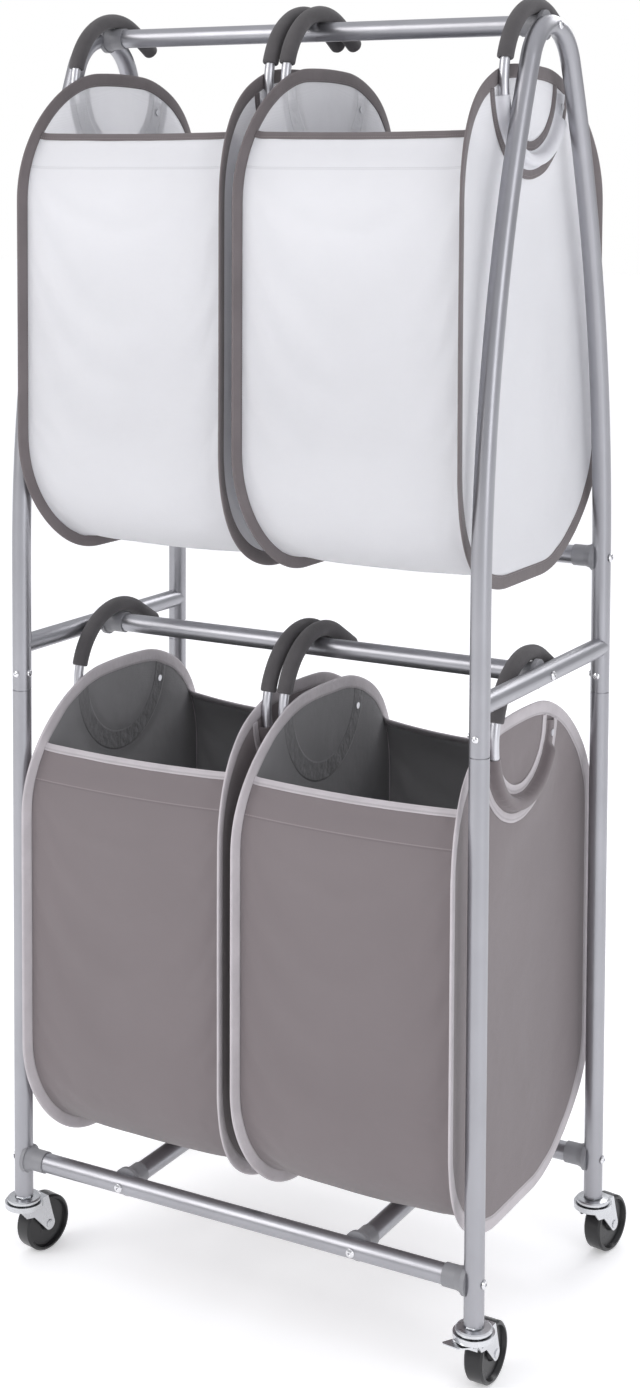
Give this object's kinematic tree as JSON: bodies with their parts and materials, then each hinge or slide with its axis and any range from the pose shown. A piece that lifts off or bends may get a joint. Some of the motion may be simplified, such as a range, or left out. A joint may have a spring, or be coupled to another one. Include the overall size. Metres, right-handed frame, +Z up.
{
  "type": "rolling laundry sorter",
  "caption": "Two-tier rolling laundry sorter: tube frame with arched sides, hanging fabric bags on foam-padded hooks and swivel casters, some with brakes.",
  "frame": {"origin": "on the floor, midway between the four legs", "axes": "+X to the right seen from the front, +Y to the back, +Z up"},
  "size_m": [0.7372, 0.4878, 1.707],
  "materials": {
    "silver_tube": "satin silver powder coat",
    "saddle_plastic": "satin",
    "zinc": "bright zinc plate",
    "screw_steel": "bright",
    "black_wheel": "satin moulded",
    "white_cloth": "plain woven",
    "grey_cloth": "plain woven",
    "taupe_binding": "ribbed tape",
    "lilac_binding": "ribbed tape",
    "hook_steel": "satin",
    "spring_steel": "plain",
    "foam": "closed-cell foam",
    "insert_plastic": "moulded"
  },
  "bodies": {
    "frame": {"arch_left": "silver_tube", "arch_right": "silver_tube", "lower_leg_front_left": "silver_tube", "lower_leg_front_right": "silver_tube", "lower_leg_rear_right": "silver_tube", "lower_leg_rear_left": "silver_tube", "top_rail": "silver_tube", "mid_rail": "silver_tube", "rear_rail_mid": "silver_tube", "base_rail_front": "silver_tube", "base_rail_rear": "silver_tube", "base_cross_tubes": "silver_tube", "rail_saddles": "saddle_plastic", "rail_bolts": "screw_steel", "leg_screws": "screw_steel", "leg_inserts": "insert_plastic", "caster_stems": "zinc", "swivel_balls": "screw_steel"},
    "upper_left_bag": {"upper_left_side_panels": "white_cloth", "upper_left_wrap_panel": "white_cloth", "upper_left_bindings": "taupe_binding", "upper_left_rim_hoops": "spring_steel", "upper_left_hook_channels": "white_cloth", "upper_left_hook_tubes": "hook_steel", "upper_left_foam_grips": "foam"},
    "upper_right_bag": {"upper_right_side_panels": "white_cloth", "upper_right_wrap_panel": "white_cloth", "upper_right_bindings": "taupe_binding", "upper_right_rim_hoops": "spring_steel", "upper_right_hook_channels": "white_cloth", "upper_right_hook_tubes": "hook_steel", "upper_right_foam_grips": "foam"},
    "lower_left_bag": {"lower_left_side_panels": "grey_cloth", "lower_left_wrap_panel": "grey_cloth", "lower_left_bindings": "lilac_binding", "lower_left_rim_hoops": "spring_steel", "lower_left_hook_channels": "grey_cloth", "lower_left_hook_tubes": "hook_steel", "lower_left_foam_grips": "foam"},
    "lower_right_bag": {"lower_right_side_panels": "grey_cloth", "lower_right_wrap_panel": "grey_cloth", "lower_right_bindings": "lilac_binding", "lower_right_rim_hoops": "spring_steel", "lower_right_hook_channels": "grey_cloth", "lower_right_hook_tubes": "hook_steel", "lower_right_foam_grips": "foam"},
    "caster_front_left": {"caster_fork_front_left": "zinc", "caster_axle_front_left": "zinc"},
    "wheel_front_left": {"caster_wheel_front_left": "black_wheel"},
    "caster_front_right": {"caster_fork_front_right": "zinc", "caster_axle_front_right": "zinc"},
    "wheel_front_right": {"caster_wheel_front_right": "black_wheel"},
    "brake_front_right": {"brake_lever_front_right": "zinc"},
    "caster_rear_right": {"caster_fork_rear_right": "zinc", "caster_axle_rear_right": "zinc"},
    "wheel_rear_right": {"caster_wheel_rear_right": "black_wheel"},
    "caster_rear_left": {"caster_fork_rear_left": "zinc", "caster_axle_rear_left": "zinc"},
    "wheel_rear_left": {"caster_wheel_rear_left": "black_wheel"},
    "brake_rear_left": {"brake_lever_rear_left": "zinc"}
  },
  "joints": [
    {"name": "upper_left_bag_swing", "type": "hinge", "parent": "frame", "child": "upper_left_bag", "pos_m": [0, 0, 1.672], "axis": [1, 0, 0], "range_deg": [-12, 8]},
    {"name": "upper_right_bag_swing", "type": "hinge", "parent": "frame", "child": "upper_right_bag", "pos_m": [0, 0, 1.672], "axis": [1, 0, 0], "range_deg": [-12, 8]},
    {"name": "lower_left_bag_swing", "type": "hinge", "parent": "frame", "child": "lower_left_bag", "pos_m": [0, 0, 0.85], "axis": [1, 0, 0], "range_deg": [-12, 12]},
    {"name": "lower_right_bag_swing", "type": "hinge", "parent": "frame", "child": "lower_right_bag", "pos_m": [0, 0, 0.85], "axis": [1, 0, 0], "range_deg": [-12, 12]},
    {"name": "front_left_swivel", "type": "hinge", "parent": "frame", "child": "caster_front_left", "pos_m": [-0.34, -0.192, 0.0793], "axis": [0, 0, 1], "continuous": true},
    {"name": "front_left_wheel_spin", "type": "hinge", "parent": "caster_front_left", "child": "wheel_front_left", "pos_m": [-0.33293, -0.15874, 0.03775], "axis": [0.9781, -0.2079, 0], "continuous": true},
    {"name": "front_right_swivel", "type": "hinge", "parent": "frame", "child": "caster_front_right", "pos_m": [0.34, -0.192, 0.0793], "axis": [0, 0, 1], "continuous": true},
    {"name": "front_right_wheel_spin", "type": "hinge", "parent": "caster_front_right", "child": "wheel_front_right", "pos_m": [0.34077, -0.15801, 0.03775], "axis": [0.9997, -0.0227, 0], "continuous": true},
    {"name": "front_right_brake", "type": "hinge", "parent": "caster_front_right", "child": "brake_front_right", "pos_m": [0.33991, -0.196, 0.064], "axis": [0.9997, -0.0227, 0], "range_deg": [0, 22]},
    {"name": "rear_right_swivel", "type": "hinge", "parent": "frame", "child": "caster_rear_right", "pos_m": [0.34, 0.192, 0.0793], "axis": [0, 0, 1], "continuous": true},
    {"name": "rear_right_wheel_spin", "type": "hinge", "parent": "caster_rear_right", "child": "wheel_rear_right", "pos_m": [0.34561, 0.22553, 0.03775], "axis": [0.9863, -0.165, 0], "continuous": true},
    {"name": "rear_left_swivel", "type": "hinge", "parent": "frame", "child": "caster_rear_left", "pos_m": [-0.34, 0.192, 0.0793], "axis": [0, 0, 1], "continuous": true},
    {"name": "rear_left_wheel_spin", "type": "hinge", "parent": "caster_rear_left", "child": "wheel_rear_left", "pos_m": [-0.33704, 0.22587, 0.03775], "axis": [0.9962, -0.0872, 0], "continuous": true},
    {"name": "rear_left_brake", "type": "hinge", "parent": "caster_rear_left", "child": "brake_rear_left", "pos_m": [-0.34035, 0.18802, 0.064], "axis": [0.9962, -0.0872, 0], "range_deg": [0, 22]}
  ]
}
